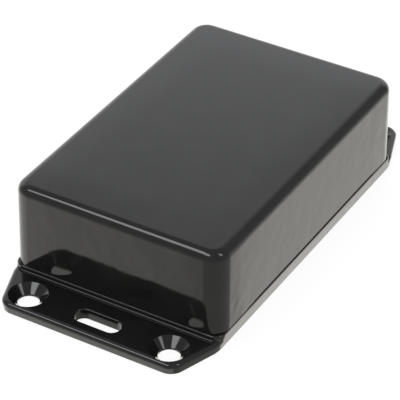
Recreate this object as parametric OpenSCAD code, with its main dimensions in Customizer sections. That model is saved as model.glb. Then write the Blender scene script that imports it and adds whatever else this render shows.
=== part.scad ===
// Flanged project box: a moulded cover standing open side down on a flanged
// base plate, held by four self-tapping screws driven up from the underside.
// Millimetres, +Z up, origin at the middle of the mounting face.

/* [Cover] */
// Length of the cover at its foot
body_l = 86; // [80:1:110]
// Width of the cover at its foot
body_w = 56; // [52:1:70]
// Height of the closed box above the mounting face
box_h = 26.2; // [22:0.2:36]
// Radius of the upright corners at the foot
corner_r = 4.5; // [4.2:0.1:6]
// Outside radius of the edges round the top
top_r = 2.4; // [1.2:0.1:3]
// Thickness of the walls
wall_t = 2; // [1.6:0.1:2.2]
// Thickness of the top
top_t = 2; // [1.6:0.1:2.6]
// Draft of the walls, in degrees
wall_draft = 0.5; // [0.1:0.1:1]
// Gap under the middle of each long wall
bow_gap = 0.35; // [0.1:0.05:0.5]

/* [Base plate] */
// Thickness of the plate and its flanges
plate_t = 2.7; // [2.5:0.1:3.5]
// Height of the step that the cover stands on
step_h = 1.2; // [0.8:0.1:2]
// Radius of the corners of the step
step_r = 2.5; // [2:0.1:4]
// Reach of each flange beyond the cover
flange_reach = 12.7; // [12.2:0.1:16]
// Width of the outer edge of each flange, before its corners are rounded
flange_w = 47; // [46:0.5:49]
// Radius of the corners of each flange
flange_r = 3.6; // [3:0.1:4.5]
// Radius that blends each long side into the taper of its flange
blend_r = 8; // [5:0.5:12]
// Draft of the edge of the plate, in degrees
edge_draft = 7; // [2:0.5:10]
// Rounding of the upper rim of the plate
rim_r = 0.4; // [0.2:0.1:0.6]

/* [Flange holes] */
// Spacing of the fixing holes along the box
hole_span_l = 100; // [99:0.5:101]
// Spacing of the fixing holes across the box
hole_span_w = 38; // [34:0.5:38.5]
// Diameter of the fixing holes
hole_d = 5.2; // [4.8:0.1:5.6]
// Diameter of the countersinks at the surface
sink_d = 9.4; // [8.6:0.1:9.6]
// Length of each slot, end to end
slot_l = 12; // [9:0.5:16]
// Width of each slot
slot_w = 4.5; // [4.4:0.1:5.2]

/* [Lid screws] */
// Distance from the outside of the cover to the screw axes
post_inset = 5.4; // [5.2:0.1:6]
// Diameter of the corner posts
post_d = 6.6; // [6:0.1:7]
// Thread diameter of the screws
screw_d = 2.9; // [2.6:0.1:3]
// Head diameter of the screws
head_d = 5.6; // [5:0.1:5.8]
// Length of the screws
screw_l = 9.5; // [8:0.5:11]

/* [Inside the cover] */
// Spacing of the board guides
guide_pitch = 12; // [11:0.5:12.5]
// Width of the groove in each board guide
guide_gap = 1.8; // [1.6:0.1:2]
// Height of the board stand-offs under the top
standoff_h = 5; // [3:0.5:6]

/* [Hidden] */

HULL_FN = 48;               // arcs of a drafted or rounded outline
ROUND_FN = 64;              // true cylinders and cones
BLACK = [0.07, 0.07, 0.07];
STEEL = [0.72, 0.73, 0.75];
OVER = 0.5;                 // how far a cutter or a root passes a face

base_t = plate_t + step_h;              // height of the parting plane
cover_h = box_h - base_t;
ceiling = box_h - top_t;                // underside of the cover's top
overall_l = body_l + 2 * flange_reach;
taper_angle = atan((body_w - flange_w) / 2 / flange_reach);

foot_r = 0.3;                           // bevel of the cover's lower edge
inner_edge_r = 0.8;                     // fillet between walls and top, inside
skirt_r = 0.5;                          // fillet where the step meets a flange
step_rim = 0.3;                         // rounding of the step's upper edge

lip_gap = 0.15;                         // clearance between lip and wall
lip_t = 1.2;
lip_h = 1.8;                            // height of the lip above the step
lip_lead = 0.4;                         // bevel on the lip's outer edge
lip_stop = 4.5;                         // how far the lip ends short of a post
pad_r = post_d / 2 + 0.7;               // pad round each screw in the plate
pocket_x = body_l / 2 - wall_t - lip_gap - lip_t;
pocket_y = body_w / 2 - wall_t - lip_gap - lip_t;
pocket_r = 2;
post_x = body_l / 2 - post_inset;
post_y = body_w / 2 - post_inset;
web_t = 2;                              // webs that tie a post to the walls

thread_core_d = screw_d - 0.5;          // screw inside its pilot bore
pilot_d = thread_core_d + 0.04;
pilot_depth = 9;
clearance_d = screw_d + 0.4;
head_recess = 0.3;                      // how far a head sits below the face
head_rim = 0.25;                        // straight edge of a head
head_cone_h = (head_d - screw_d) / 2;   // 90 degree cone
screw_point = 1.6;
cross_l = 3;                            // drive recess in a head
cross_w = 0.7;
cross_depth = 1;

sink_depth = (sink_d - hole_d) / 2;     // 90 degree countersink
slot_lead = 0.4;                        // bevel round the mouth of a slot

rib_t = 1;                              // a guide is a pair of these
rib_depth = 1.5;
guide_floor = base_t + lip_h + 0.6;     // clear of the lip
guides_long = 5;
guides_short = 3;
standoff_x = 26;
standoff_y = 15;
standoff_d = 5.5;
standoff_bore_d = 2.2;
standoff_bore_h = standoff_h - 0.5;
bow_from = -33;                         // the gap under a long wall, along X
bow_to = 38;
bow_run = 9;                            // length over which it fades out

// ---------------------------------------------------------------- helpers

// Inset of the plate's drafted edge at a height z.
function edge_inset(z) = (base_t - step_rim - z) * tan(edge_draft);

// Half section of one corner of a drafted block with a rounded top edge.
function corner_section(r, h, edge_r, foot) =
    let (
        centre_z = h - edge_r,
        centre_x = r - centre_z * tan(wall_draft) - edge_r / cos(wall_draft),
        steps = 8
    )
    concat(
        [[0, 0], [r - foot, 0], [r, foot]],
        [for (i = [0:steps])
            let (a = wall_draft + (90 - wall_draft) * i / steps)
            [centre_x + edge_r * cos(a), centre_z + edge_r * sin(a)]],
        [[0, h]]
    );

// Half section of a disc of the plate: drafted edge and rounded rim.
function disc_section(r) =
    let (
        top_x = r - edge_inset(plate_t - rim_r) - rim_r,
        steps = 4
    )
    concat(
        [[0, 0], [r - edge_inset(0), 0]],
        [for (i = [0:steps])
            let (a = 90 * i / steps)
            [top_x + rim_r * cos(a), plate_t - rim_r + rim_r * sin(a)]],
        [[0, plate_t]]
    );

// Half section of the rounded rim of the step, at one of its corners.
function step_rim_section() =
    let (steps = 3)
    concat(
        [[0, 0]],
        [for (i = [0:steps])
            let (a = 90 * i / steps)
            [step_r - step_rim * (1 - cos(a)), step_rim * sin(a)]]
    );

// Copies the children to the corners of a rectangle of half sizes x and y.
module at_corners(x, y) {
    for (sx = [-1, 1], sy = [-1, 1])
        translate([sx * x, sy * y, 0]) children();
}

// Drafted block with rounded corners and a rounded top, standing on z = 0.
module drafted_block(l, w, r, h, edge_r, foot = 0) {
    hull()
        at_corners(l / 2 - r, w / 2 - r)
            rotate_extrude($fn = HULL_FN)
                polygon(corner_section(r, h, edge_r, foot));
}

// One disc of the plate, to stand in a rounded corner of its outline.
module plate_disc(r) {
    rotate_extrude($fn = HULL_FN) polygon(disc_section(r));
}

// Obround prism with its length along Y.
module obround(l, w, h) {
    half = (l - w) / 2;
    at_corners(0, half) cylinder(d = w, h = h, $fn = ROUND_FN);
    translate([-w / 2, -half, 0]) cube([w, 2 * half, h]);
}

// Obround whose sides lean out at 45 degrees over the height h.
module obround_lead(l, w, h) {
    half = (l - w) / 2;
    at_corners(0, half) cylinder(d1 = w, d2 = w + 2 * h, h = h, $fn = ROUND_FN);
    translate([0, half, 0]) rotate([90, 0, 0])
        linear_extrude(2 * half)
            polygon([[-w / 2, 0], [w / 2, 0], [w / 2 + h, h], [-w / 2 - h, h]]);
}

// ------------------------------------------------------------- base plate

// The plate and its two tapered flanges.
module plate_body() {
    flange_y = flange_w / 2 - flange_r * tan(45 - taper_angle / 2);
    blend_x = body_l / 2 - blend_r * tan(taper_angle / 2);
    hull() {
        at_corners(overall_l / 2 - flange_r, flange_y) plate_disc(flange_r);
        at_corners(blend_x, body_w / 2 - blend_r) plate_disc(blend_r);
    }
}

// The step under the cover: its long sides carry on the plate's draft.
module step_block() {
    x = body_l / 2 - step_r;
    y = body_w / 2 - step_r;
    low = plate_t - rim_r;
    hull() {
        at_corners(x, y - edge_inset(low)) translate([0, 0, low])
            cylinder(r = step_r, h = step_rim, $fn = HULL_FN);
        at_corners(x, y) translate([0, 0, base_t - step_rim])
            rotate_extrude($fn = HULL_FN) polygon(step_rim_section());
    }
}

// Hollow fillet where the step rises from the flanges, in two slopes.
module step_skirt() {
    for (part = [[1, 0.35], [0.35, 1]]) {
        reach = skirt_r * part[0];
        rise = skirt_r * part[1];
        y = body_w / 2 - edge_inset(plate_t) - step_r - reach;
        hull()
            at_corners(body_l / 2 - step_r, y) translate([0, 0, plate_t - OVER]) {
                cylinder(r = step_r + reach, h = OVER, $fn = HULL_FN);
                cylinder(r = step_r, h = OVER + rise, $fn = HULL_FN);
            }
    }
}

// Pocket inside the step, with a pad left round each screw.
module plate_pocket() {
    translate([0, 0, plate_t])
        difference() {
            hull()
                at_corners(pocket_x - pocket_r, pocket_y - pocket_r)
                    cylinder(r = pocket_r, h = step_h + OVER, $fn = HULL_FN);
            at_corners(post_x, post_y) translate([0, 0, -OVER])
                cylinder(r = pad_r, h = step_h + 3 * OVER, $fn = ROUND_FN);
        }
}

// One straight run of the lip, centred on X, its outer face at y = reach.
module lip_run(half_l, reach) {
    translate([-half_l, reach, 0]) rotate([90, 0, 90])
        linear_extrude(2 * half_l)
            polygon([
                [-lip_t, plate_t], [0, plate_t], [0, base_t + lip_h - lip_lead],
                [-lip_lead, base_t + lip_h], [-lip_t, base_t + lip_h]
            ]);
}

// Lip that locates the cover, broken at the corner posts.
module locating_lip() {
    for (a = [0, 180]) {
        rotate(a) lip_run(post_x - lip_stop, pocket_y + lip_t);
        rotate(a + 90) lip_run(post_y - lip_stop, pocket_x + lip_t);
    }
}

// Countersunk fixing holes and the slot between each pair.
module flange_openings() {
    at_corners(hole_span_l / 2, hole_span_w / 2) {
        translate([0, 0, -OVER]) cylinder(d = hole_d, h = plate_t + 2 * OVER, $fn = ROUND_FN);
        translate([0, 0, plate_t - sink_depth])
            cylinder(d1 = hole_d, d2 = sink_d + 2 * OVER, h = sink_depth + OVER, $fn = ROUND_FN);
    }
    at_corners(hole_span_l / 2, 0) {
        translate([0, 0, -OVER]) obround(slot_l, slot_w, plate_t + 2 * OVER);
        translate([0, 0, plate_t - slot_lead]) obround_lead(slot_l, slot_w, slot_lead + OVER);
    }
}

// Holes for the lid screws, countersunk from the underside.
module screw_holes() {
    seat = head_recess + head_rim;
    at_corners(post_x, post_y) {
        translate([0, 0, -OVER]) {
            cylinder(d = head_d, h = seat + OVER, $fn = ROUND_FN);
            cylinder(d = clearance_d, h = base_t + 2 * OVER, $fn = ROUND_FN);
        }
        translate([0, 0, seat])
            cylinder(d1 = head_d, d2 = screw_d, h = head_cone_h, $fn = ROUND_FN);
    }
}

module base_plate() {
    color(BLACK)
        difference() {
            union() {
                difference() {
                    union() {
                        plate_body();
                        step_block();
                        step_skirt();
                    }
                    plate_pocket();
                }
                locating_lip();
            }
            flange_openings();
            screw_holes();
        }
}

// ------------------------------------------------------------------ cover

module cover_shell() {
    translate([0, 0, base_t])
        difference() {
            drafted_block(body_l, body_w, corner_r, cover_h, top_r, foot_r);
            translate([0, 0, -OVER])
                drafted_block(body_l - 2 * wall_t, body_w - 2 * wall_t, corner_r - wall_t,
                              cover_h - top_t + OVER, inner_edge_r);
        }
}

// Corner posts with webs out to both walls.
module corner_posts() {
    post_h = ceiling + OVER - base_t;
    reach = post_inset - wall_t + OVER;
    at_corners(post_x, post_y) translate([0, 0, base_t])
        cylinder(d = post_d, h = post_h, $fn = ROUND_FN);
    for (sx = [0, 1], sy = [0, 1]) mirror([sx, 0, 0]) mirror([0, sy, 0])
        translate([post_x, post_y, base_t]) {
            translate([0, -web_t / 2, 0]) cube([reach, web_t, post_h]);
            translate([-web_t / 2, 0, 0]) cube([web_t, reach, post_h]);
        }
}

// Pairs of ribs along one wall, whose inner face is at y = wall_y.
module guide_row(count, wall_y) {
    for (i = [0:count - 1], side = [-1, 1])
        translate([
            (i - (count - 1) / 2) * guide_pitch + side * (guide_gap + rib_t) / 2 - rib_t / 2,
            wall_y - rib_depth,
            guide_floor
        ])
            cube([rib_t, rib_depth + OVER, ceiling + OVER - guide_floor]);
}

module board_guides() {
    for (a = [0, 180]) {
        rotate(a) guide_row(guides_long, body_w / 2 - wall_t);
        rotate(a + 90) guide_row(guides_short, body_l / 2 - wall_t);
    }
}

module board_standoffs() {
    at_corners(standoff_x, standoff_y) translate([0, 0, ceiling - standoff_h])
        cylinder(d = standoff_d, h = standoff_h + OVER, $fn = ROUND_FN);
}

// Pilot bores for the lid screws and for screws in the stand-offs.
module cover_bores() {
    at_corners(post_x, post_y) translate([0, 0, base_t - OVER])
        cylinder(d = pilot_d, h = pilot_depth + OVER, $fn = ROUND_FN);
    at_corners(standoff_x, standoff_y) translate([0, 0, ceiling - standoff_h - OVER])
        cylinder(d = standoff_bore_d, h = standoff_bore_h + OVER, $fn = ROUND_FN);
}

// Shallow relief that leaves a gap under the middle of each long wall.
module foot_relief() {
    for (sy = [0, 1]) mirror([0, sy, 0])
        translate([0, body_w / 2 + OVER, base_t]) rotate([90, 0, 0])
            linear_extrude(wall_t + 2 * OVER)
                polygon([
                    [bow_from, -OVER], [bow_from, 0], [bow_from + bow_run, bow_gap],
                    [bow_to - bow_run, bow_gap], [bow_to, 0], [bow_to, -OVER]
                ]);
}

module cover() {
    color(BLACK)
        difference() {
            union() {
                cover_shell();
                corner_posts();
                board_guides();
                board_standoffs();
            }
            cover_bores();
            foot_relief();
        }
}

// ----------------------------------------------------------------- screws

// Countersunk self-tapping screw, head down, its thread at core diameter.
module lid_screw() {
    neck = head_rim + head_cone_h;
    shank_top = base_t - head_recess - lip_gap;
    difference() {
        rotate_extrude($fn = ROUND_FN)
            polygon([
                [0, 0], [head_d / 2, 0], [head_d / 2, head_rim], [screw_d / 2, neck],
                [screw_d / 2, shank_top], [thread_core_d / 2, shank_top + lip_gap],
                [thread_core_d / 2, screw_l - screw_point], [0, screw_l]
            ]);
        for (a = [0, 90]) rotate(a)
            translate([-cross_l / 2, -cross_w / 2, -OVER]) cube([cross_l, cross_w, cross_depth + OVER]);
    }
}

module lid_screws() {
    color(STEEL)
        at_corners(post_x, post_y) translate([0, 0, head_recess]) lid_screw();
}

base_plate();
cover();
lid_screws();
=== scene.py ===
"""Gloss black project box: a round-edged cover screwed to a flanged base plate."""

import logging
import math
from contextlib import contextmanager
from dataclasses import dataclass, field
from enum import Enum
from typing import Callable, Iterator, Sequence

import bmesh
import bpy
from mathutils import Matrix, Vector


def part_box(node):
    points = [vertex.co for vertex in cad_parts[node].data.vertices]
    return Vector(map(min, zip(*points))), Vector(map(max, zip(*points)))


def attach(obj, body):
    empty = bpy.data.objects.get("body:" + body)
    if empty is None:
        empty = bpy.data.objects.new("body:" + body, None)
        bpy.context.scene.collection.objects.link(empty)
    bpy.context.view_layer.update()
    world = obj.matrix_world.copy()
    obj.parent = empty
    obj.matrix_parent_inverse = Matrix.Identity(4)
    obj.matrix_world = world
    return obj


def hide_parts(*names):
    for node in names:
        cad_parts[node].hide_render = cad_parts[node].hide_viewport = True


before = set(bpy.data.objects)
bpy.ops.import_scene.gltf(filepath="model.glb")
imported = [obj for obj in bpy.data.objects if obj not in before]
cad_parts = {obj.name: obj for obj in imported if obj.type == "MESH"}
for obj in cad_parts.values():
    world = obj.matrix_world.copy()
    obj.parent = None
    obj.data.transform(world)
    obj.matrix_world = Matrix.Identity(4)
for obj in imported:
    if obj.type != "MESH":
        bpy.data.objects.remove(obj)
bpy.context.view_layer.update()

log = logging.getLogger("project_box")

MM = 0.001                      # every size below is written in millimetres times MM
NEAR = 0.01 * MM                # points closer than this are at the same place
Point = tuple[float, float, float]
Range = tuple[float, float]
Solid = bpy.types.Object
Material = bpy.types.Material
Socket = bpy.types.NodeSocket
Tree = bpy.types.NodeTree


class Part(Enum):
    """What a selection picks from a mesh in edit mode."""

    VERTS = "VERT"
    EDGES = "EDGE"
    FACES = "FACE"


class Join(Enum):
    """How one solid is worked into another."""

    UNITE = "UNION"
    CUT = "DIFFERENCE"


# ------------------------------------------------------------ modelling bench


def deselect_all() -> None:
    """Leaves nothing selected in object mode."""
    if bpy.context.object and bpy.context.object.mode != "OBJECT":
        bpy.ops.object.mode_set(mode="OBJECT")
    bpy.ops.object.select_all(action="DESELECT")


def activate(obj: Solid) -> None:
    """Makes one object the only selected and the active one."""
    deselect_all()
    obj.select_set(True)
    bpy.context.view_layer.objects.active = obj


def settle() -> None:
    """Moves the place, turn and scale of the selected objects into their meshes."""
    bpy.ops.object.transform_apply(location=True, rotation=True, scale=True)


def spin(obj: Solid, angle: float) -> None:
    """Turns a solid about the Z axis."""
    obj.rotation_euler.z = angle
    activate(obj)
    settle()


@contextmanager
def editing(obj: Solid) -> Iterator[Solid]:
    """Opens an object in edit mode, with nothing selected, and closes it again.

    Args:
        obj: the mesh object to edit.
    """
    activate(obj)
    bpy.ops.object.mode_set(mode="EDIT")
    bpy.ops.mesh.select_all(action="DESELECT")
    yield obj
    bpy.ops.object.mode_set(mode="OBJECT")


def pick(obj: Solid, part: Part, test: Callable[..., bool]) -> int:
    """Selects the parts of a mesh in edit mode that pass a test, and nothing else.

    Args:
        obj: the object in edit mode.
        part: whether verts, edges or faces are tested.
        test: takes one bmesh element and says whether it is wanted.

    Returns:
        How many elements were selected.
    """
    bpy.ops.mesh.select_mode(type=part.value)
    bpy.ops.mesh.select_all(action="DESELECT")
    mesh = bmesh.from_edit_mesh(obj.data)
    pool = {Part.VERTS: mesh.verts, Part.EDGES: mesh.edges, Part.FACES: mesh.faces}[part]
    chosen = [element for element in pool if test(element)]
    for element in chosen:
        element.select_set(True)
    mesh.select_flush_mode()
    bmesh.update_edit_mesh(obj.data)
    return len(chosen)


def middle(edge: bmesh.types.BMEdge) -> Vector:
    """The midpoint of an edge."""
    return (edge.verts[0].co + edge.verts[1].co) / 2


def is_upright(edge: bmesh.types.BMEdge) -> bool:
    """Whether an edge runs mainly along Z."""
    way = edge.verts[1].co - edge.verts[0].co
    return abs(way.z) > 0.8 * way.length


def looks_up(face: bmesh.types.BMFace) -> bool:
    """Whether a face looks straight up."""
    return face.normal.z > 0.99


def looks_down(face: bmesh.types.BMFace) -> bool:
    """Whether a face looks straight down."""
    return face.normal.z < -0.99


def at_height(z: float, slack: float = 2 * NEAR) -> Callable[[bmesh.types.BMEdge], bool]:
    """A test for edges that lie at one height.

    Args:
        z: the height.
        slack: how far off it an end may be.

    Returns:
        The test, for pick().
    """
    return lambda edge: all(abs(vert.co.z - z) < slack for vert in edge.verts)


def resize(factors: Point, centre: Point = (0, 0, 0)) -> None:
    """Scales the selection about a point."""
    bpy.ops.transform.resize(value=factors, center_override=centre)


def extrude(offset: Point) -> None:
    """Extrudes the selected faces and moves them."""
    bpy.ops.mesh.extrude_region_move(TRANSFORM_OT_translate={"value": offset})


def bevel(offset: float, segments: int, clamp: bool = False) -> None:
    """Rounds the selected edges with an arc of the given number of segments."""
    bpy.ops.mesh.bevel(offset=offset, segments=segments, profile=0.5, affect="EDGES",
                       clamp_overlap=clamp)


def block(name: str, low: Sequence[float], high: Sequence[float]) -> Solid:
    """Adds a box between two corners, with its place in its mesh.

    Args:
        name: name of the new object.
        low: lowest corner.
        high: highest corner.

    Returns:
        The new object, at the origin, unturned and unscaled.
    """
    deselect_all()
    low, high = Vector(low), Vector(high)
    bpy.ops.mesh.primitive_cube_add(size=1, location=(low + high) / 2)
    obj = bpy.context.object
    obj.name = obj.data.name = name
    obj.scale = high - low
    settle()
    return obj


def turned(name: str, profile: Sequence[Range], sides: int = 64) -> Solid:
    """Builds a closed turned solid about the Z axis.

    Args:
        name: name of the new object.
        profile: (radius, height) from the lowest face to the highest.
        sides: number of sides of its circles.

    Returns:
        The new object.
    """
    deselect_all()
    radius, height = profile[0]
    bpy.ops.mesh.primitive_circle_add(vertices=sides, radius=radius, fill_type="NGON",
                                      location=(0, 0, height))
    obj = bpy.context.object
    obj.name = obj.data.name = name
    settle()
    with editing(obj):
        bpy.ops.mesh.select_all(action="SELECT")
        for next_radius, next_height in profile[1:]:
            extrude((0, 0, next_height - height))
            resize((next_radius / radius, next_radius / radius, 1))
            radius, height = next_radius, next_height
        bpy.ops.mesh.select_all(action="SELECT")
        bpy.ops.mesh.normals_make_consistent(inside=False)
    return obj


def join_all(name: str, objs: Sequence[Solid]) -> Solid:
    """Makes several separate solids one object.

    Args:
        name: name of the new object.
        objs: the solids, which are used up.

    Returns:
        The joined object.
    """
    deselect_all()
    for obj in objs:
        obj.select_set(True)
    bpy.context.view_layer.objects.active = objs[0]
    settle()
    bpy.ops.object.join()
    joined = bpy.context.object
    joined.name = joined.data.name = name
    return joined


def copy_to(obj: Solid, places: Sequence[Point], turns: Sequence[float] = ()) -> Solid:
    """Copies a solid to several places and makes the copies one object.

    Args:
        obj: the solid to copy; it is used up.
        places: where its origin goes.
        turns: angle about Z of each copy, none if left out.

    Returns:
        One object with a copy at each place, each with its own mesh data.
    """
    copies = []
    for index, place in enumerate(places):
        twin = obj.copy()
        twin.data = obj.data.copy()
        bpy.context.collection.objects.link(twin)
        twin.location = place
        twin.rotation_euler.z = turns[index] if turns else 0
        copies.append(twin)
    name = obj.name
    bpy.data.objects.remove(obj, do_unlink=True)
    return join_all(name, copies)


def corners(x: float, y: float, z: float = 0.0) -> list[Point]:
    """The four corners of a rectangle of half sizes x and y, at height z."""
    return [(sx * x, sy * y, z) for sx in (-1, 1) for sy in (-1, 1)]


def turned_at(name: str, profile: Sequence[Range], x: float, y: float, sides: int = 64) -> Solid:
    """The same turned solid at the four corners of a rectangle of half sizes x and y."""
    return copy_to(turned(name, profile, sides), corners(x, y))


def finish_with(obj: Solid, kind: str, **settings: object) -> None:
    """Adds a modifier, sets it up and applies it."""
    activate(obj)
    modifier = obj.modifiers.new(kind.lower(), kind)
    for key, value in settings.items():
        setattr(modifier, key, value)
    bpy.ops.object.modifier_apply(modifier=modifier.name)


def work_in(obj: Solid, tool: Solid, how: Join) -> None:
    """Unites a solid with another, or cuts it out, and uses it up.

    Args:
        obj: the solid that stays.
        tool: the solid that is added or cut out.
        how: whether it is united or cut.
    """
    finish_with(obj, "BOOLEAN", operation=how.value, solver="EXACT", object=tool)
    bpy.data.objects.remove(tool, do_unlink=True)


def smooth_off(obj: Solid, angle: float = 32.0) -> None:
    """Smooths the shading of arcs and keeps flats flat.

    Args:
        obj: the finished solid.
        angle: edges sharper than this, in degrees, stay crisp.
    """
    with editing(obj):
        bpy.ops.mesh.select_all(action="SELECT")
        bpy.ops.mesh.remove_doubles(threshold=0.0005 * MM)
        bpy.ops.mesh.normals_make_consistent(inside=False)
    activate(obj)
    bpy.ops.object.shade_smooth_by_angle(angle=math.radians(angle))
    finish_with(obj, "WEIGHTED_NORMAL", keep_sharp=True, weight=100, mode="FACE_AREA_WITH_ANGLE")


# ----------------------------------------------------------------- the pieces


@dataclass
class Cover:
    """The moulded cover, open side down, with its posts, guides and stand-offs inside."""

    low: Vector
    high: Vector
    post_x: float
    post_y: float
    corner_r: float = 4.5 * MM
    top_r: float = 2.4 * MM
    wall_t: float = 2 * MM
    top_t: float = 2 * MM
    draft: float = math.radians(0.5)
    foot_r: float = 0.3 * MM
    inner_r: float = 0.8 * MM
    bow_gap: float = 0.35 * MM
    bow_from: float = -33 * MM
    bow_to: float = 38 * MM
    bow_run: float = 9 * MM
    bow_steps: int = 5
    post_r: float = 3.3 * MM
    web_t: float = 2 * MM
    pilot_r: float = 1.22 * MM
    pilot_depth: float = 9 * MM
    guide_pitch: float = 12 * MM
    guide_gap: float = 1.8 * MM
    guide_floor: float = 2.4 * MM
    rib_t: float = 1 * MM
    rib_depth: float = 1.5 * MM
    guides_long: int = 5
    guides_short: int = 3
    standoff_x: float = 26 * MM
    standoff_y: float = 15 * MM
    standoff_r: float = 2.75 * MM
    standoff_h: float = 5 * MM
    standoff_bore_r: float = 1.1 * MM
    root: float = 0.5 * MM
    arc_segments: int = 12
    inner_segments: int = 5
    foot_segments: int = 3
    ceiling: float = field(init=False)

    def __post_init__(self) -> None:
        """Works out the underside of the top."""
        self.ceiling = self.high.z - self.top_t

    def build(self) -> Solid:
        """Builds the whole moulding as one closed solid.

        Returns:
            The cover.
        """
        cover = self.shell()
        self.relieve_foot(cover)
        for part in (self.posts(), *self.webs(), self.guides(), self.standoffs()):
            work_in(cover, part, Join.UNITE)
        work_in(cover, self.bores(), Join.CUT)
        smooth_off(cover)
        return cover

    def narrowing(self, height: float, half: float) -> float:
        """The factor by which the draft shrinks a half size over a height."""
        return 1 - height * math.tan(self.draft) / half

    def shell(self) -> Solid:
        """The drafted block with its rounded edges, hollowed from below.

        Returns:
            The bare shell.
        """
        foot, top = self.low.z, self.high.z
        half_l, half_w = self.high.x, self.high.y
        shell = block("cover", (-half_l, -half_w, foot), (half_l, half_w, top))
        with editing(shell):
            pick(shell, Part.FACES, looks_up)
            rise = top - foot
            resize((self.narrowing(rise, half_l), self.narrowing(rise, half_w), 1))
            pick(shell, Part.EDGES, is_upright)
            bevel(self.corner_r, self.arc_segments)
            pick(shell, Part.EDGES, at_height(top))
            bevel(self.top_r, self.arc_segments)
            pick(shell, Part.EDGES, at_height(foot))
            bevel(self.foot_r, self.foot_segments)
            pick(shell, Part.FACES, looks_down)
            bpy.ops.mesh.inset(thickness=self.wall_t - self.foot_r, use_even_offset=True)
            extrude((0, 0, self.ceiling - foot))
            rise = self.ceiling - foot
            resize((self.narrowing(rise, half_l), self.narrowing(rise, half_w), 1))
            pick(shell, Part.EDGES, at_height(self.ceiling))
            bevel(self.inner_r, self.inner_segments)
        return shell

    def bow(self, x: float) -> float:
        """How far the foot of a long wall stands off the plate at a place along X."""
        inside = min(x - self.bow_from, self.bow_to - x)
        share = max(0.0, min(1.0, inside / self.bow_run))
        return self.bow_gap * (1 - math.cos(math.pi * share)) / 2

    def relieve_foot(self, shell: Solid) -> None:
        """Lifts the foot of both long walls, so that a hair-wide gap is left under them.

        Args:
            shell: the bare shell.
        """
        foot = self.low.z
        ends = [self.bow_from, self.bow_to - self.bow_run]
        stations = [
            end + self.bow_run * step / self.bow_steps for end in ends for step in range(self.bow_steps + 1)
        ]
        inner_y = self.high.y - self.wall_t - self.foot_r
        rim_z = foot + 2 * self.foot_r
        with editing(shell):
            for x in stations:
                pick(shell, Part.FACES, lambda face: (
                    all(abs(vert.co.y) > inner_y for vert in face.verts)
                    and min(vert.co.z for vert in face.verts) < rim_z
                ))
                bpy.ops.mesh.bisect(plane_co=(x, 0, 0), plane_no=(1, 0, 0))
            for x in stations:
                pick(shell, Part.VERTS, lambda vert: abs(vert.co.x - x) < NEAR and vert.co.z < rim_z)
                bpy.ops.transform.translate(value=(0, 0, self.bow(x)))

    def posts(self) -> Solid:
        """The four corner posts."""
        top = self.ceiling + self.root
        profile = [(self.post_r, self.low.z), (self.post_r, top)]
        return turned_at("posts", profile, self.post_x, self.post_y)

    def webs(self) -> list[Solid]:
        """The webs that tie each post to both walls.

        Returns:
            The webs along X and the webs along Y.
        """
        half = self.web_t / 2
        reach = self.high.x - self.post_x - self.wall_t + self.root
        lengthways, crossways = [], []
        for x, y, _ in corners(self.post_x, self.post_y):
            out_x, out_y = x + math.copysign(reach, x), y + math.copysign(reach, y)
            lengthways.append(self.rib((min(x, out_x), y - half), (max(x, out_x), y + half), self.low.z))
            crossways.append(self.rib((x - half, min(y, out_y)), (x + half, max(y, out_y)), self.low.z))
        return [join_all("webs_x", lengthways), join_all("webs_y", crossways)]

    def rib(self, low: tuple[float, float], high: tuple[float, float], floor: float) -> Solid:
        """A straight rib from a height up into the top, between two corners of its plan."""
        return block("rib", (*low, floor), (*high, self.ceiling + self.root))

    def guides(self) -> Solid:
        """The pairs of ribs that hold a board upright along each wall.

        Returns:
            All the guide ribs.
        """
        floor = self.low.z + self.guide_floor
        off = (self.guide_gap + self.rib_t) / 2
        inner_x, inner_y = self.high.x - self.wall_t, self.high.y - self.wall_t
        ribs = []
        for side, edge in ((-1, -1), (-1, 1), (1, -1), (1, 1)):
            for count, inner, is_long in (
                (self.guides_long, inner_y, True),
                (self.guides_short, inner_x, False),
            ):
                ends = sorted((side * (inner - self.rib_depth), side * (inner + self.root)))
                for index in range(count):
                    place = (index - (count - 1) / 2) * self.guide_pitch + edge * off
                    span = (place - self.rib_t / 2, place + self.rib_t / 2)
                    low, high = zip(span, ends) if is_long else zip(ends, span)
                    ribs.append(self.rib(low, high, floor))
        return join_all("guides", ribs)

    def standoffs(self) -> Solid:
        """The four stand-offs for a circuit board under the top."""
        under = self.ceiling - self.standoff_h
        profile = [(self.standoff_r, under), (self.standoff_r, self.ceiling + self.root)]
        return turned_at("standoffs", profile, self.standoff_x, self.standoff_y)

    def bores(self) -> Solid:
        """The pilot bores for the lid screws and the screws of a board."""
        foot = self.low.z
        pilot = [(self.pilot_r, foot - self.root), (self.pilot_r, foot + self.pilot_depth)]
        under = self.ceiling - self.standoff_h
        small = [(self.standoff_bore_r, under - self.root), (self.standoff_bore_r, self.ceiling - self.root)]
        return join_all("bores", [
            turned_at("pilots", pilot, self.post_x, self.post_y),
            turned_at("board_bores", small, self.standoff_x, self.standoff_y),
        ])


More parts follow.
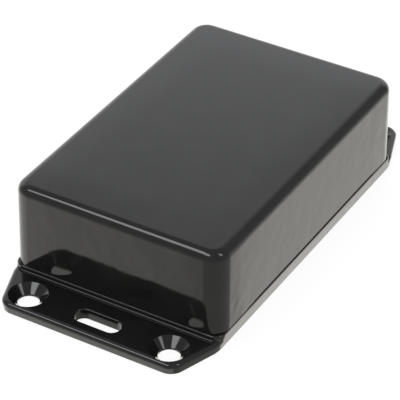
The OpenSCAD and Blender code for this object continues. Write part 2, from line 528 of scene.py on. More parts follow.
@dataclass
class BasePlate:
    """The moulded plate: flanges, step, locating lip, pocket and all its holes."""

    low: Vector
    high: Vector
    cover_low: Vector
    cover_high: Vector
    post_x: float
    post_y: float
    plate_t: float = 2.7 * MM
    step_r: float = 2.7 * MM
    step_rim: float = 0.45 * MM
    skirt_r: float = 0.3 * MM
    skirt_steps: int = 6
    flange_w: float = 47 * MM
    flange_r: float = 3.6 * MM
    blend_r: float = 8 * MM
    draft: float = math.radians(7)
    widest_z: float = 3.6 * MM
    rim_r: float = 1.2 * MM
    wall_t: float = 2 * MM
    lip_gap: float = 0.15 * MM
    lip_t: float = 1.2 * MM
    lip_lead: float = 0.4 * MM
    lip_stop: float = 4.5 * MM
    pocket_r: float = 2 * MM
    pad_r: float = 4 * MM
    hole_x: float = 50 * MM
    hole_y: float = 19 * MM
    hole_r: float = 2.6 * MM
    sink_r: float = 4.7 * MM
    edge_break: float = 0.12 * MM
    slot_l: float = 12 * MM
    slot_w: float = 4.5 * MM
    slot_rim: float = 0.3 * MM
    head_r: float = 2.8 * MM
    head_seat: float = 0.55 * MM
    clearance_r: float = 1.65 * MM
    blend_segments: int = 6
    round_segments: int = 12
    rim_segments: int = 8
    rim_loss: float = 0.9
    slot_segments: int = 16
    mouth_turns: tuple[int, ...] = (18, 36, 54, 72, 84)
    seam: float = 0.02 * MM
    lift: float = 0.05 * MM
    over: float = 0.5 * MM

    def build(self) -> Solid:
        """Builds the whole moulding as one closed solid.

        Returns:
            The base plate.
        """
        plate = self.flanges()
        for part in (self.step(), self.lip()):
            work_in(plate, part, Join.UNITE)
        for tool in (self.pocket(), self.fixing_holes(), self.slots(), self.screw_holes()):
            work_in(plate, tool, Join.CUT)
        smooth_off(plate)
        return plate

    def inset(self, z: float) -> float:
        """How far the drafted edge stands in from the full outline at a height."""
        return (self.widest_z - z) * math.tan(self.draft)

    def flanges(self) -> Solid:
        """The flat plate with its two tapered flanges, drafted edge and rounded rim.

        Returns:
            The plate without its step.
        """
        name = "base_plate"
        top = self.plate_t
        side = self.cover_high.y - self.inset(top) - self.seam
        end = self.high.x + self.rim_loss * self.rim_r * math.sin(self.draft)
        neck = self.cover_high.x
        tip = self.flange_w / 2 - self.inset(top)
        taper = math.atan((side - tip) / (end - neck))
        plate = block(name, (-neck, -side, 0), (neck, side, top))
        with editing(plate):
            for way in (-1, 1):
                pick(plate, Part.FACES, lambda face: face.normal.x * way > 0.9)
                extrude((way * (end - neck), 0, 0))
                resize((1, tip / side, 1))
            pick(plate, Part.EDGES, lambda edge: is_upright(edge) and abs(middle(edge).x) < neck + self.over)
            bevel(self.blend_r * math.tan(taper / 2), self.blend_segments)
            pick(plate, Part.EDGES, lambda edge: is_upright(edge) and abs(middle(edge).x) > end - self.over)
            bevel(self.flange_r * math.tan(math.pi / 4 - taper / 2), self.round_segments)
            bpy.ops.mesh.select_all(action="SELECT")
            bpy.ops.mesh.dissolve_limited(angle_limit=math.radians(0.5))
            pick(plate, Part.FACES, looks_down)
            shrink = self.inset(0) - self.inset(top)
            resize(((end - shrink) / end, (side - shrink) / side, 1))
            pick(plate, Part.EDGES, at_height(top))
            bevel(self.rim_r, self.rim_segments)
        return plate

    def step(self) -> Solid:
        """The block under the cover, with a hollow fillet where its ends meet the flanges.

        Returns:
            The step, whose long sides carry on the drafted edge of the plate.
        """
        top, end = self.cover_low.z, self.cover_high.x
        foot = end + self.skirt_r
        rings = [(self.plate_t - self.seam, foot)]
        for index in range(1, self.skirt_steps + 1):
            turn = math.pi / 2 * index / self.skirt_steps
            height = self.plate_t + self.skirt_r * (1 - math.cos(turn))
            rings.append((height, foot - self.skirt_r * math.sin(turn)))
        rings.append((top, end))
        z, reach, side = self.lift, foot, self.cover_high.y - self.inset(self.lift)
        step = block("step", (-reach, -side, z - self.seam), (reach, side, z))
        with editing(step):
            pick(step, Part.EDGES, is_upright)
            bevel(self.step_r, self.round_segments)
            pick(step, Part.FACES, looks_up)
            for next_z, next_reach in rings:
                next_side = self.cover_high.y - self.inset(next_z)
                extrude((0, 0, next_z - z))
                resize((next_reach / reach, next_side / side, 1))
                z, reach, side = next_z, next_reach, next_side
            pick(step, Part.EDGES, at_height(top))
            bevel(self.step_rim, self.rim_segments // 2)
        return step

    def lip(self) -> Solid:
        """The lip that locates the cover, broken at the corner posts.

        Returns:
            Its four straight runs, a little too thick on the inside.
        """
        foot = self.plate_t - self.over
        top = self.high.z
        out_x = self.cover_high.x - self.wall_t - self.lip_gap
        out_y = self.cover_high.y - self.wall_t - self.lip_gap
        thick = self.lip_t + self.over
        half_x, half_y = self.post_x - self.lip_stop, self.post_y - self.lip_stop
        runs = []
        for way in (-1, 1):
            for low, high, is_outer in (
                ((-half_x, out_y - thick), (half_x, out_y), lambda edge: middle(edge).y > out_y - self.over),
                ((out_x - thick, -half_y), (out_x, half_y), lambda edge: middle(edge).x > out_x - self.over),
            ):
                run = block("lip", (*low, foot), (*high, top))
                with editing(run):
                    pick(run, Part.EDGES, lambda edge: at_height(top)(edge) and is_outer(edge))
                    bevel(self.lip_lead, 1)
                if way < 0:
                    spin(run, math.pi)
                runs.append(run)
        return join_all("lip", runs)

    def pocket(self) -> Solid:
        """The pocket inside the step, with a pad left round each screw.

        Returns:
            The solid to cut out.
        """
        half_x = self.cover_high.x - self.wall_t - self.lip_gap - self.lip_t
        half_y = self.cover_high.y - self.wall_t - self.lip_gap - self.lip_t
        top = self.high.z + self.over
        pocket = block("pocket", (-half_x, -half_y, self.plate_t), (half_x, half_y, top))
        with editing(pocket):
            pick(pocket, Part.EDGES, is_upright)
            bevel(self.pocket_r, self.blend_segments)
        pad = [(self.pad_r, 0), (self.pad_r, top + self.over)]
        work_in(pocket, turned_at("pads", pad, self.post_x, self.post_y), Join.CUT)
        return pocket

    def fixing_holes(self) -> Solid:
        """The four countersunk fixing holes, with their mouths broken."""
        top = self.plate_t
        profile = [
            (self.hole_r + self.edge_break, -self.over),
            (self.hole_r + self.edge_break, 0),
            (self.hole_r, self.edge_break),
            (self.hole_r, top - self.sink_r + self.hole_r),
            (self.sink_r - self.edge_break / 2, top - self.edge_break / 2),
            (self.sink_r + self.edge_break / 2, top),
            (self.sink_r + self.edge_break / 2, top + self.over),
        ]
        return turned_at("fixing_holes", profile, self.hole_x, self.hole_y, sides=96)

    def slots(self) -> Solid:
        """The round-ended slot in each flange, with a rounded mouth.

        Returns:
            The solids to cut out.
        """
        half_w, half_l = self.slot_w / 2, self.slot_l / 2
        top = self.plate_t
        slot = block("slots", (-half_w, -half_l, -self.over), (half_w, half_l, top - self.slot_rim))
        with editing(slot):
            pick(slot, Part.EDGES, is_upright)
            bevel(half_w - 0.1 * NEAR, self.slot_segments)
            pick(slot, Part.FACES, looks_up)
            rise = spread = 0.0
            for turn in map(math.radians, self.mouth_turns):
                up = self.slot_rim * math.sin(turn)
                out = self.slot_rim * (1 - math.cos(turn))
                extrude((0, 0, up - rise))
                resize(((half_w + out) / (half_w + spread), (half_l + out) / (half_l + spread), 1))
                rise, spread = up, out
            extrude((0, 0, self.over))
        return copy_to(slot, [(-self.hole_x, 0, 0), (self.hole_x, 0, 0)])

    def screw_holes(self) -> Solid:
        """The holes for the lid screws, countersunk from the underside."""
        cone = self.head_r - self.clearance_r
        profile = [
            (self.head_r + self.edge_break, -self.over),
            (self.head_r + self.edge_break, 0),
            (self.head_r, self.edge_break),
            (self.head_r, self.head_seat),
            (self.clearance_r, self.head_seat + cone),
            (self.clearance_r, self.cover_low.z + self.over),
        ]
        return turned_at("screw_holes", profile, self.post_x, self.post_y)


@dataclass
class LidScrews:
    """The four self-tapping screws that hold the cover, driven up from below."""

    low: Vector
    high: Vector
    post_x: float
    post_y: float
    head_r: float = 2.8 * MM
    head_rim: float = 0.25 * MM
    shank_r: float = 1.45 * MM
    core_r: float = 1.2 * MM
    neck_z: float = 3.5 * MM
    point: float = 1.6 * MM
    pitch: float = 1.1 * MM
    flank: float = 0.42 * MM
    turns: int = 5
    steps: int = 32
    cross_l: float = 3 * MM
    cross_w: float = 0.7 * MM
    cross_depth: float = 1 * MM
    edge: float = 0.08 * MM
    root: float = 0.15 * MM
    tip_share: float = 0.12
    run_out: float = 0.3
    drive_angles: tuple[float, ...] = (0.2, 1.1, 0.7, 1.35)

    def build(self) -> Solid:
        """Builds one screw and copies it to the four posts.

        Returns:
            The four screws as one object.
        """
        screw = self.body()
        work_in(screw, self.thread(), Join.UNITE)
        work_in(screw, self.cross_recess(), Join.CUT)
        screws = copy_to(screw, corners(self.post_x, self.post_y), self.drive_angles)
        smooth_off(screws)
        return screws

    def body(self) -> Solid:
        """The countersunk head, the shank and the core up to the point.

        Returns:
            A turned solid.
        """
        foot, tip = self.low.z, self.high.z
        seat = foot + self.head_rim
        cone = self.head_r - self.shank_r
        return turned("lid_screws", [
            (self.head_r - self.edge, foot),
            (self.head_r, foot + self.edge),
            (self.head_r, seat),
            (self.shank_r, seat + cone),
            (self.shank_r, self.neck_z - self.edge),
            (self.core_r, self.neck_z + self.edge),
            (self.core_r, tip - self.point),
            (self.core_r * self.tip_share, tip),
        ], sides=48)

    def thread(self) -> Solid:
        """The sharp thread, a triangle wound round the core and run out at both ends.

        Returns:
            A closed helical solid.
        """
        start = self.neck_z + self.flank
        inner = self.core_r - self.root
        deselect_all()
        bpy.ops.mesh.primitive_circle_add(vertices=3, radius=self.flank, fill_type="NOTHING")
        thread = bpy.context.object
        thread.name = thread.data.name = "thread"
        places = [(inner, -self.flank), (self.shank_r, 0), (inner, self.flank)]
        for vert, (radius, height) in zip(thread.data.vertices, places):
            vert.co = (radius, 0, start + height)
        finish_with(thread, "SCREW", axis="Z", angle=2 * math.pi, screw_offset=self.pitch,
                    iterations=self.turns, steps=self.steps, render_steps=self.steps,
                    use_merge_vertices=False)
        with editing(thread):
            bpy.ops.mesh.select_all(action="SELECT")
            bpy.ops.mesh.fill_holes(sides=0)
            for z in (start, start + self.pitch * self.turns):
                pick(thread, Part.VERTS, lambda vert: (
                    abs(vert.co.y) < 0.1 * NEAR and vert.co.x > 0 and abs(vert.co.z - z) < 1.1 * self.flank
                ))
                resize((self.run_out, 1, self.run_out), (inner, 0, z))
            bpy.ops.mesh.select_all(action="SELECT")
            bpy.ops.mesh.normals_make_consistent(inside=False)
        return thread

    def cross_recess(self) -> Solid:
        """The tapered cross in the head, as a solid to cut out.

        Returns:
            Two crossed wedges made one.
        """
        half_l, half_w = self.cross_l / 2, self.cross_w / 2
        foot = self.low.z
        wings = []
        for turn in (0, math.pi / 2):
            wing = block("wing", (-half_l, -half_w, foot - half_w), (half_l, half_w, foot + self.cross_depth))
            with editing(wing):
                pick(wing, Part.FACES, looks_up)
                resize((0.45, 0.8, 1))
            spin(wing, turn)
            wings.append(wing)
        work_in(wings[0], wings[1], Join.UNITE)
        return wings[0]


# ---------------------------------------------------------------- node helper


class Nodes:
    """A small hand for laying out one node tree."""

    def __init__(self, tree: Tree) -> None:
        """Keeps the tree that the nodes go into.

        Args:
            tree: a material's, world's or group's node tree.
        """
        self.tree = tree

    def add(self, kind: str, **settings: object) -> bpy.types.Node:
        """Adds a node and sets its options.

        Args:
            kind: the node's type, such as ShaderNodeMath.
            settings: its options by name.

        Returns:
            The node.
        """
        node = self.tree.nodes.new(kind)
        for key, value in settings.items():
            setattr(node, key, value)
        return node

    def feed(self, socket: Socket, value: object) -> None:
        """Links an output to a socket, or sets the socket's own value."""
        if isinstance(value, Socket):
            self.tree.links.new(value, socket)
        else:
            socket.default_value = value

    def math(self, operation: str, *values: object, clamp: bool = False) -> Socket:
        """One maths step.

        Args:
            operation: the Math node's operation.
            values: sockets or numbers, in the order of its inputs.
            clamp: whether the result is held between 0 and 1.

        Returns:
            The result's socket.
        """
        node = self.add("ShaderNodeMath", operation=operation, use_clamp=clamp)
        for socket, value in zip(node.inputs, values):
            self.feed(socket, value)
        return node.outputs[0]

    def ramp(self, value: object, low: object, high: object, to_low: object = 0.0,
             to_high: object = 1.0, smooth: bool = True) -> Socket:
        """Maps a value from one range onto another, held at its ends.

        Args:
            value: what is mapped.
            low: start of the range it comes from.
            high: end of that range.
            to_low: what the start becomes.
            to_high: what the end becomes.
            smooth: whether it eases in and out.

        Returns:
            The mapped value's socket.
        """
        node = self.add("ShaderNodeMapRange", clamp=True,
                        interpolation_type="SMOOTHSTEP" if smooth else "LINEAR")
        for socket, item in zip(node.inputs, (value, low, high, to_low, to_high)):
            self.feed(socket, item)
        return node.outputs[0]

    def noise(self, where: object, scale: object, detail: float = 2.0, rough: float = 0.5) -> Socket:
        """A noise pattern between 0 and 1 over a set of coordinates."""
        node = self.add("ShaderNodeTexNoise", noise_dimensions="3D")
        self.feed(node.inputs["Vector"], where)
        self.feed(node.inputs["Scale"], scale)
        node.inputs["Detail"].default_value = detail
        node.inputs["Roughness"].default_value = rough
        return node.outputs["Fac"]

    def stretched(self, where: object, scale: Point, shift: Point = (0, 0, 0),
                  turn: Point = (0, 0, 0)) -> Socket:
        """Coordinates turned, scaled and shifted through a Mapping node."""
        node = self.add("ShaderNodeMapping")
        self.feed(node.inputs["Vector"], where)
        node.inputs["Scale"].default_value = scale
        node.inputs["Location"].default_value = shift
        node.inputs["Rotation"].default_value = turn
        return node.outputs[0]

    def axes(self, where: Socket) -> tuple[Socket, ...]:
        """The X, Y and Z of a vector."""
        split = self.add("ShaderNodeSeparateXYZ")
        self.feed(split.inputs[0], where)
        return tuple(split.outputs)

    def bump(self, height: Socket) -> Socket:
        """The normal of a surface with the given relief, in metres."""
        node = self.add("ShaderNodeBump")
        node.inputs["Distance"].default_value = 1.0
        self.feed(node.inputs["Height"], height)
        return node.outputs["Normal"]

    def close(self, surface: Socket, kind: str = "ShaderNodeOutputMaterial") -> None:
        """Sends the finished shader to the tree's output."""
        self.feed(self.add(kind).inputs["Surface"], surface)

    def mix(self, factor: object, first: object, second: object) -> Socket:
        """Mixes two colours."""
        node = self.add("ShaderNodeMix", data_type="RGBA")
        self.feed(node.inputs["Factor"], factor)
        self.feed(node.inputs["A"], first)
        self.feed(node.inputs["B"], second)
        return node.outputs["Result"]

    def group(self, tree: Tree, **values: object) -> bpy.types.Node:
        """Places a node group and feeds its inputs by name, with _ for a space."""
        node = self.add("ShaderNodeGroup", node_tree=tree)
        for key, value in values.items():
            self.feed(node.inputs[key.replace("_", " ")], value)
        return node


def new_group(name: str, inputs: dict[str, tuple[str, object]], outputs: dict[str, str]
              ) -> tuple[Nodes, bpy.types.NodeOutputs, bpy.types.NodeInputs]:
    """Starts a shader node group with named sockets.

    Args:
        name: name of the group.
        inputs: socket name to (Float or Vector, default value).
        outputs: socket name to Float, Vector or Color.

    Returns:
        The group's nodes, the sockets that bring its inputs and those that take its outputs.
    """
    tree = bpy.data.node_groups.new(name, "ShaderNodeTree")
    for key, (kind, default) in inputs.items():
        socket = tree.interface.new_socket(name=key, in_out="INPUT", socket_type=f"NodeSocket{kind}")
        socket.default_value = default
    for key, kind in outputs.items():
        tree.interface.new_socket(name=key, in_out="OUTPUT", socket_type=f"NodeSocket{kind}")
    nodes = Nodes(tree)
    return nodes, nodes.add("NodeGroupInput").outputs, nodes.add("NodeGroupOutput").inputs


def blank_material(name: str) -> tuple[Material, Nodes]:
    """A new material, and the hand for its empty tree."""
    material = bpy.data.materials.new(name)
    material.use_nodes = True
    material.node_tree.nodes.clear()
    return material, Nodes(material.node_tree)


# ------------------------------------------------------------- surface effects


def make_flow_waves() -> Tree:
    """The slow, shallow waves that a moulding keeps as it cools.

    Returns:
        A group that gives the height of the waves in metres.
    """
    nodes, given, out = new_group(
        "flow_waves",
        {"Position": ("Vector", (0, 0, 0)), "Wave": ("Float", 150.0), "Depth": ("Float", 0.01 * MM)},
        {"Height": "Float"},
    )
    slow = nodes.noise(given["Position"], given["Wave"], detail=1.0)
    fine = nodes.noise(given["Position"], nodes.math("MULTIPLY", given["Wave"], 2.7), detail=0.0)
    total = nodes.math("ADD", slow, nodes.math("MULTIPLY", fine, 0.3))
    nodes.feed(out["Height"], nodes.math("MULTIPLY", total, given["Depth"]))
    return nodes.tree


def make_fine_grain() -> Tree:
    """The fine grain that the mould's polish leaves in the plastic.

    Returns:
        A group that gives its height in metres and a mask of its duller places.
    """
    nodes, given, out = new_group(
        "fine_grain",
        {"Position": ("Vector", (0, 0, 0)), "Scale": ("Float", 4000.0), "Depth": ("Float", 0.0002 * MM)},
        {"Height": "Float", "Dull": "Float"},
    )
    grain = nodes.noise(given["Position"], given["Scale"], detail=3.0, rough=0.6)
    patches = nodes.noise(given["Position"], nodes.math("MULTIPLY", given["Scale"], 0.03), detail=3.0)
    nodes.feed(out["Height"], nodes.math("MULTIPLY", grain, given["Depth"]))
    nodes.feed(out["Dull"], nodes.ramp(patches, 0.42, 0.66))
    return nodes.tree


def make_hairlines() -> Tree:
    """Faint hairline scratches from handling, in two crossing directions.

    Returns:
        A group that gives a mask of the scratches.
    """
    nodes, given, out = new_group(
        "hairline_scratches",
        {"Position": ("Vector", (0, 0, 0)), "Amount": ("Float", 0.4)},
        {"Mask": "Float"},
    )
    lines = []
    for turn, shift in ((0.5, 0.0), (-1.0, 0.3)):
        drawn = nodes.stretched(given["Position"], (6000, 90, 400), (shift, shift, 0), (0.1, 0.05, turn))
        lines.append(nodes.ramp(nodes.noise(drawn, 1.0, detail=1.0), 0.72, 0.8))
    both = nodes.math("MAXIMUM", *lines)
    nodes.feed(out["Mask"], nodes.math("MULTIPLY", both, given["Amount"], clamp=True))
    return nodes.tree


def make_dust() -> Tree:
    """Sparse specks of pale dust on the faces that look up.

    Returns:
        A group that gives a mask of the specks.
    """
    nodes, given, out = new_group(
        "dust_specks",
        {"Position": ("Vector", (0, 0, 0)), "Spacing": ("Float", 90.0), "Amount": ("Float", 0.5)},
        {"Mask": "Float"},
    )
    cells = nodes.add("ShaderNodeTexVoronoi", voronoi_dimensions="3D", feature="F1")
    nodes.feed(cells.inputs["Vector"], given["Position"])
    nodes.feed(cells.inputs["Scale"], given["Spacing"])
    speck = nodes.ramp(cells.outputs["Distance"], 0.012, 0.028, 1.0, 0.0)
    split = nodes.add("ShaderNodeSeparateColor")
    nodes.feed(split.inputs[0], cells.outputs["Color"])
    rare = nodes.math("GREATER_THAN", split.outputs[0], 0.8)
    _, _, facing = nodes.axes(nodes.add("ShaderNodeNewGeometry").outputs["True Normal"])
    up = nodes.ramp(facing, 0.6, 0.95)
    mask = nodes.math("MULTIPLY", nodes.math("MULTIPLY", speck, rare), up)
    nodes.feed(out["Mask"], nodes.math("MULTIPLY", mask, given["Amount"], clamp=True))
    return nodes.tree


def make_sink_marks() -> Tree:
    """Shallow sink marks on the outside of a wall, opposite the ribs inside it.

    Returns:
        A group that gives the height of the marks in metres.
    """
    nodes, given, out = new_group(
        "sink_marks",
        {"Position": ("Vector", (0, 0, 0)), "Pitch": ("Float", 12 * MM), "Depth": ("Float", 0.002 * MM)},
        {"Height": "Float"},
    )
    along, _, _ = nodes.axes(given["Position"])
    turns = nodes.math("DIVIDE", along, given["Pitch"])
    wave = nodes.math("COSINE", nodes.math("MULTIPLY", turns, 2 * math.pi))
    bands = nodes.math("POWER", nodes.math("MULTIPLY_ADD", wave, 0.5, 0.5), 6.0)
    streaks = nodes.noise(nodes.stretched(given["Position"], (700, 700, 9)), 1.0, detail=2.0)
    total = nodes.math("ADD", nodes.math("MULTIPLY", bands, -1.0), streaks)
    nodes.feed(out["Height"], nodes.math("MULTIPLY", total, given["Depth"]))
    return nodes.tree


def make_crown() -> Tree:
    """The way a moulded box's faces fall off a little towards their edges.

    Returns:
        A group that gives the height lost near the ends of each face, in metres.
    """
    nodes, given, out = new_group(
        "crowned_faces",
        {"Position": ("Vector", (0, 0, 0)), "Half length": ("Float", 40 * MM),
         "Half width": ("Float", 25 * MM), "Reach": ("Float", 9 * MM), "Drop": ("Float", 0.1 * MM)},
        {"Height": "Float"},
    )
    falls = []
    for axis, size in zip(nodes.axes(given["Position"]), ("Half length", "Half width")):
        start = nodes.math("SUBTRACT", given[size], given["Reach"])
        past = nodes.math("SUBTRACT", nodes.math("ABSOLUTE", axis), start)
        share = nodes.math("MAXIMUM", nodes.math("DIVIDE", past, given["Reach"]), 0.0)
        falls.append(nodes.math("POWER", share, 2.0))
    fall = nodes.math("MULTIPLY", nodes.math("ADD", *falls), given["Drop"])
    nodes.feed(out["Height"], nodes.math("MULTIPLY", fall, -1.0))
    return nodes.tree


@dataclass(frozen=True)
class Effects:
    """The surface effects that the finishes share, each built once."""

    waves: Tree
    grain: Tree
    hairlines: Tree
    dust: Tree
    sinks: Tree
    crown: Tree

    @classmethod
    def make(cls) -> "Effects":
        """Builds every effect."""
        return cls(make_flow_waves(), make_fine_grain(), make_hairlines(), make_dust(),
                   make_sink_marks(), make_crown())


@dataclass(frozen=True)
class GlossPlastic:
    """Gloss black moulded plastic."""

    name: str
    black: tuple[float, float, float] = (0.0083, 0.0084, 0.0081)
    worn: tuple[float, float, float] = (0.0105, 0.0105, 0.01)
    dust: tuple[float, float, float] = (0.55, 0.54, 0.5)
    roughness: float = 0.07
    ior: float = 1.53
    wave_depth: float = 0.055 * MM
    sink_depth: float = 0.006 * MM
    crown_drop: float = 0.1 * MM
    dust_amount: float = 0.6
    scratches: float = 0.5
    dull_gain: float = 0.015        # roughness that the duller patches, the scratches and dust add
    scratch_gain: float = 0.08
    dust_gain: float = 0.5
    calm: float = 0.12              # share of the waves that a flat top has, against a wall

    def make(self, effects: Effects) -> Material:
        """Builds the material.

        Args:
            effects: the shared surface effects.

        Returns:
            The material.
        """
        material, nodes = blank_material(self.name)
        where = nodes.add("ShaderNodeTexCoord").outputs["Object"]
        grain = nodes.group(effects.grain, Position=where)
        lines = nodes.group(effects.hairlines, Position=where, Amount=self.scratches).outputs["Mask"]
        specks = nodes.group(effects.dust, Position=where, Amount=self.dust_amount).outputs["Mask"]
        waves = nodes.group(effects.waves, Position=where, Depth=self.wave_depth).outputs["Height"]
        sinks = nodes.group(effects.sinks, Position=where, Depth=self.sink_depth).outputs["Height"]
        crown = nodes.group(effects.crown, Position=where, Drop=self.crown_drop).outputs["Height"]

        shader = nodes.add("ShaderNodeBsdfPrincipled")
        shader.inputs["IOR"].default_value = self.ior
        black = nodes.mix(grain.outputs["Dull"], (*self.black, 1), (*self.worn, 1))
        nodes.feed(shader.inputs["Base Color"], nodes.mix(specks, black, (*self.dust, 1)))
        gloss = nodes.math("MULTIPLY_ADD", grain.outputs["Dull"], self.dull_gain, self.roughness)
        gloss = nodes.math("MULTIPLY_ADD", lines, self.scratch_gain, gloss)
        nodes.feed(shader.inputs["Roughness"], nodes.math("MULTIPLY_ADD", specks, self.dust_gain, gloss))
        _, _, facing = nodes.axes(nodes.add("ShaderNodeNewGeometry").outputs["True Normal"])
        wall = nodes.ramp(nodes.math("ABSOLUTE", facing), 0.2, 0.7, 1.0, self.calm)
        moulded = nodes.math("MULTIPLY_ADD", nodes.math("ADD", waves, sinks), wall, crown)
        height = nodes.math("ADD", moulded, grain.outputs["Height"])
        nodes.feed(shader.inputs["Normal"], nodes.bump(height))
        nodes.close(shader.outputs[0])
        return material


@dataclass(frozen=True)
class ZincPlate:
    """Bright zinc plate on the lid screws."""

    name: str
    bright: tuple[float, float, float] = (0.62, 0.63, 0.66)
    dull: tuple[float, float, float] = (0.42, 0.42, 0.43)
    roughness: float = 0.28
    grain_scale: float = 9000.0
    grain_depth: float = 0.0008 * MM
    scratches: float = 0.8
    dull_gain: float = 0.14
    scratch_gain: float = 0.2

    def make(self, effects: Effects) -> Material:
        """Builds the material.

        Args:
            effects: the shared surface effects.

        Returns:
            The material.
        """
        material, nodes = blank_material(self.name)
        where = nodes.add("ShaderNodeTexCoord").outputs["Object"]
        grain = nodes.group(effects.grain, Position=where, Scale=self.grain_scale, Depth=self.grain_depth)
        lines = nodes.group(effects.hairlines, Position=where, Amount=self.scratches).outputs["Mask"]
        shader = nodes.add("ShaderNodeBsdfPrincipled")
        shader.inputs["Metallic"].default_value = 1.0
        nodes.feed(shader.inputs["Base Color"],
                   nodes.mix(grain.outputs["Dull"], (*self.bright, 1), (*self.dull, 1)))
        gloss = nodes.math("MULTIPLY_ADD", grain.outputs["Dull"], self.dull_gain, self.roughness)
        nodes.feed(shader.inputs["Roughness"], nodes.math("MULTIPLY_ADD", lines, self.scratch_gain, gloss))
        nodes.feed(shader.inputs["Normal"], nodes.bump(grain.outputs["Height"]))
        nodes.close(shader.outputs[0])
        return material


# ----------------------------------------------------------------- the studio


@dataclass(frozen=True)
class Panel:
    """A bright field of the studio, by direction, in degrees."""

    azimuth: float
    half_azimuth: float
    elevation: float
    half_elevation: float
    softness: float
    radiance: float


@dataclass
class Studio:
    """White surroundings, a pale floor, soft panels and the camera."""

    floor_size: float = 6.0
    floor_drop: float = 0.02 * MM
    floor_shade: float = 0.2
    floor_glow: float = 0.86
    shade_at_slot: float = -49.5 * MM
    shade_at_holes: float = -51.2 * MM
    shade_soft: float = 0.4 * MM
    slot_to_hole: Range = (8 * MM, 12 * MM)
    flange_end: float = -55 * MM
    flange_side: float = 22.5 * MM
    dim: float = 0.385
    sky_tint: tuple[float, float, float] = (0.985, 0.995, 1.02)
    ground_tint: tuple[float, float, float] = (1.03, 1.01, 0.955)
    panels: tuple[Panel, ...] = (
        Panel(40, 45, 18, 28, 8, 0.4),              # the wide glow behind the box
        Panel(35, 55, 5, 28.5, 4, 0.5),             # the brighter sky low behind it
        Panel(156.5, 31.5, 52, 9.3, 1.5, 4.2),      # the strip high on the near left
        Panel(-93, 9, 46, 14, 2, 3.0),              # the small strip high on the near right
        Panel(-10, 22, -52, 12, 3, 0.3),            # the ground below on the far right
        Panel(115, 38, -56, 10, 4, 0.15),           # the ground below on the left
        Panel(190, 38, -57, 11, 4, 0.9),            # the ground below on the near side
        Panel(-11, 12.5, -25, 9, 1.5, 0.5),         # the paler ground on the far right
    )
    ground_fade: Range = (-28.0, 2.0)       # elevations from full ground light to none
    slant: float = 0.59                     # how far its right edge leans, in degrees per degree
    slant_from: float = -38.0
    right_edge: Range = (-37.0, -29.0)      # azimuths, with the light before and past each edge
    right_light: Range = (0.15, 1.2)
    left_edge: Range = (134.0, 162.0)
    left_light: Range = (0.84, 0.09)
    horizon: Range = (-8.0, 8.0)
    camera_distance: float = 558.2 * MM
    camera_azimuth: float = -59.63
    camera_elevation: float = 35.72
    camera_roll: float = 0.36
    aim_right: float = -2.16 * MM
    aim_up: float = 4.58 * MM
    lens: float = 206.6
    sensor: float = 36.0

    def set_up(self) -> None:
        """Lays the floor, lights the studio and places the camera."""
        self.floor()
        self.surroundings()
        self.camera()

    def floor(self) -> None:
        """A pale floor that shows the box's soft shadow and that the gloss looks through."""
        deselect_all()
        bpy.ops.mesh.primitive_plane_add(size=self.floor_size, location=(0, 0, -self.floor_drop))
        floor = bpy.context.object
        floor.name = floor.data.name = "studio_floor"
        settle()
        material, nodes = blank_material("studio_floor")
        path = nodes.add("ShaderNodeLightPath")
        diffuse = nodes.add("ShaderNodeBsdfDiffuse")
        shade = self.floor_shade
        diffuse.inputs["Color"].default_value = (shade, shade, shade, 1)
        glow = nodes.add("ShaderNodeEmission")
        glow.inputs["Strength"].default_value = self.floor_glow
        lit = nodes.add("ShaderNodeAddShader")
        nodes.feed(lit.inputs[0], diffuse.outputs[0])
        nodes.feed(lit.inputs[1], glow.outputs[0])
        clear = nodes.add("ShaderNodeBsdfTransparent")
        # the gloss sees the surroundings through the floor, dimmed by a painted shade under the near flange
        nodes.feed(clear.inputs["Color"], self.under_openings(nodes))
        choice = nodes.add("ShaderNodeMixShader")
        nodes.feed(choice.inputs[0], path.outputs["Is Glossy Ray"])
        nodes.feed(choice.inputs[1], lit.outputs[0])
        nodes.feed(choice.inputs[2], clear.outputs[0])
        nodes.close(choice.outputs[0])
        floor.data.materials.append(material)

    def under_openings(self, nodes: Nodes) -> Socket:
        """A painted shade under the near flange, where its edges would keep the light from the floor.

        Args:
            nodes: the floor's nodes.

        Returns:
            How much of the surroundings the gloss still sees there, as a grey.
        """
        x, y, _ = nodes.axes(nodes.add("ShaderNodeTexCoord").outputs["Object"])
        y = nodes.math("ABSOLUTE", y)
        border = nodes.ramp(y, *self.slot_to_hole, self.shade_at_slot, self.shade_at_holes)
        lit = nodes.ramp(nodes.math("SUBTRACT", x, border), -self.shade_soft, self.shade_soft)
        outside = nodes.math("LESS_THAN", x, self.flange_end)
        beside = nodes.math("GREATER_THAN", y, self.flange_side)
        return nodes.math("MAXIMUM", lit, nodes.math("MAXIMUM", outside, beside))

    def panel_group(self) -> Tree:
        """The shape of one panel: a soft-edged field of azimuth and elevation.

        Returns:
            A group that gives its mask.
        """
        nodes, given, out = new_group(
            "studio_panel",
            {key: ("Float", 0.0) for key in
             ("Azimuth", "Elevation", "Centre azimuth", "Half azimuth", "Centre elevation",
              "Half elevation", "Softness")},
            {"Mask": "Float"},
        )
        masks = []
        for axis, centre, half in (
            ("Azimuth", "Centre azimuth", "Half azimuth"),
            ("Elevation", "Centre elevation", "Half elevation"),
        ):
            off = nodes.math("SUBTRACT", given[axis], given[centre])
            off = nodes.math("ABSOLUTE", nodes.math("WRAP", off, 180.0, -180.0))
            low = nodes.math("SUBTRACT", given[half], given["Softness"])
            high = nodes.math("ADD", given[half], given["Softness"])
            masks.append(nodes.ramp(off, low, high, 1.0, 0.0))
        nodes.feed(out["Mask"], nodes.math("MULTIPLY", *masks))
        return nodes.tree

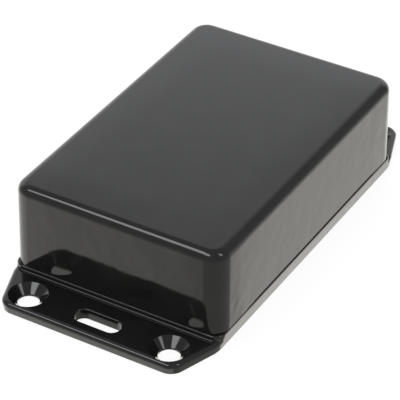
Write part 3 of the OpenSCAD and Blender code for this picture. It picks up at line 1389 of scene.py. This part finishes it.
    def surroundings(self) -> None:
        """White to the eye, even light on dull surfaces, and soft panels in the gloss."""
        world = bpy.data.worlds.new("studio")
        bpy.context.scene.world = world
        world.use_nodes = True
        world.node_tree.nodes.clear()
        nodes = Nodes(world.node_tree)
        x, y, z = nodes.axes(nodes.add("ShaderNodeTexCoord").outputs["Generated"])
        azimuth = nodes.math("DEGREES", nodes.math("ARCTAN2", y, x))
        elevation = nodes.math("DEGREES", nodes.math("ARCSINE", z))
        shape = self.panel_group()
        total: object = self.dim
        for panel in self.panels:
            mask = nodes.group(
                shape, Azimuth=azimuth, Elevation=elevation, Centre_azimuth=panel.azimuth,
                Half_azimuth=panel.half_azimuth, Centre_elevation=panel.elevation,
                Half_elevation=panel.half_elevation, Softness=panel.softness,
            ).outputs["Mask"]
            total = nodes.math("MULTIPLY_ADD", mask, panel.radiance, total)
        total = nodes.math("ADD", total, self.ground(nodes, azimuth, elevation))

        path = nodes.add("ShaderNodeLightPath")
        strength = nodes.add("ShaderNodeMix", data_type="FLOAT")
        nodes.feed(strength.inputs[0], path.outputs["Is Glossy Ray"])
        nodes.feed(strength.inputs[2], 1.0)
        nodes.feed(strength.inputs[3], total)
        glow = nodes.add("ShaderNodeBackground")
        tint = nodes.mix(nodes.ramp(elevation, *self.horizon), (*self.ground_tint, 1), (*self.sky_tint, 1))
        nodes.feed(glow.inputs["Color"], nodes.mix(path.outputs["Is Glossy Ray"], (1, 1, 1, 1), tint))
        nodes.feed(glow.inputs["Strength"], strength.outputs[0])
        nodes.close(glow.outputs[0], "ShaderNodeOutputWorld")

    def ground(self, nodes: Nodes, azimuth: object, elevation: object) -> Socket:
        """The pale ground that the gloss shows: dim on the near side, brighter below.

        Args:
            nodes: the world's nodes.
            azimuth: direction round the box, in degrees.
            elevation: direction above the floor, in degrees.

        Returns:
            Its radiance over the dim surroundings.
        """
        depth = nodes.ramp(elevation, *self.ground_fade, 1.0, 0.0, smooth=False)
        below = nodes.math("SUBTRACT", elevation, self.slant_from)
        slant = nodes.math("MULTIPLY_ADD", below, self.slant, azimuth)
        right = nodes.ramp(slant, *self.right_edge, *self.right_light)
        left = nodes.ramp(azimuth, *self.left_edge, *self.left_light)
        return nodes.math("MULTIPLY", depth, nodes.math("MULTIPLY", right, left))

    def camera(self) -> None:
        """The camera, placed by its distance, direction and aim."""
        turn, tilt = math.radians(self.camera_azimuth), math.radians(self.camera_elevation)
        roll = math.radians(self.camera_roll)
        back = Vector((math.sin(turn) * math.cos(tilt), -math.cos(turn) * math.cos(tilt), math.sin(tilt)))
        level = Vector((math.cos(turn), math.sin(turn), 0))
        upright = back.cross(level)
        right = level * math.cos(roll) + upright * math.sin(roll)
        up = upright * math.cos(roll) - level * math.sin(roll)
        data = bpy.data.cameras.new("camera")
        data.lens = self.lens
        data.sensor_width = self.sensor
        camera = bpy.data.objects.new("camera", data)
        bpy.context.collection.objects.link(camera)
        place = back * self.camera_distance + right * self.aim_right + up * self.aim_up
        camera.matrix_world = Matrix.Translation(place) @ Matrix((right, up, back)).transposed().to_4x4()
        bpy.context.scene.camera = camera


# ----------------------------------------------------------------------- main


def dress(piece: Solid, node: str, material: Material) -> None:
    """Gives a piece its finish and its place in the frame.

    Args:
        piece: the finished piece.
        node: the imported part that it takes the place of, which is hidden.
        material: its finish.
    """
    piece.data.materials.clear()
    piece.data.materials.append(material)
    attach(piece, "root")
    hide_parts(node)
    size = [round(side / MM, 1) for side in piece.dimensions]
    log.info("%s: %d faces, %s mm", piece.name, len(piece.data.polygons), size)


def main() -> None:
    """Builds the three pieces round the frame and sets up the studio."""
    logging.basicConfig(level=logging.INFO, format="%(name)s: %(message)s")
    effects = Effects.make()
    cover_low, cover_high = (Vector(corner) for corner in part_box("cover"))
    plate_low, plate_high = (Vector(corner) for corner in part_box("base_plate"))
    screw_low, screw_high = (Vector(corner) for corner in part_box("lid_screws"))
    head_r = LidScrews.head_r
    post_x, post_y = screw_high.x - head_r, screw_high.y - head_r

    cover = Cover(cover_low, cover_high, post_x, post_y).build()
    dress(cover, "cover", GlossPlastic("cover_plastic").make(effects))
    plate = BasePlate(plate_low, plate_high, cover_low, cover_high, post_x, post_y).build()
    dress(plate, "base_plate", GlossPlastic("base_plastic", sink_depth=0.0, crown_drop=0.0).make(effects))
    screws = LidScrews(screw_low, screw_high, post_x, post_y).build()
    dress(screws, "lid_screws", ZincPlate("screw_zinc").make(effects))

    Studio().set_up()
    bpy.context.scene.view_settings.view_transform = "Standard"


if __name__ == "__main__":
    main()
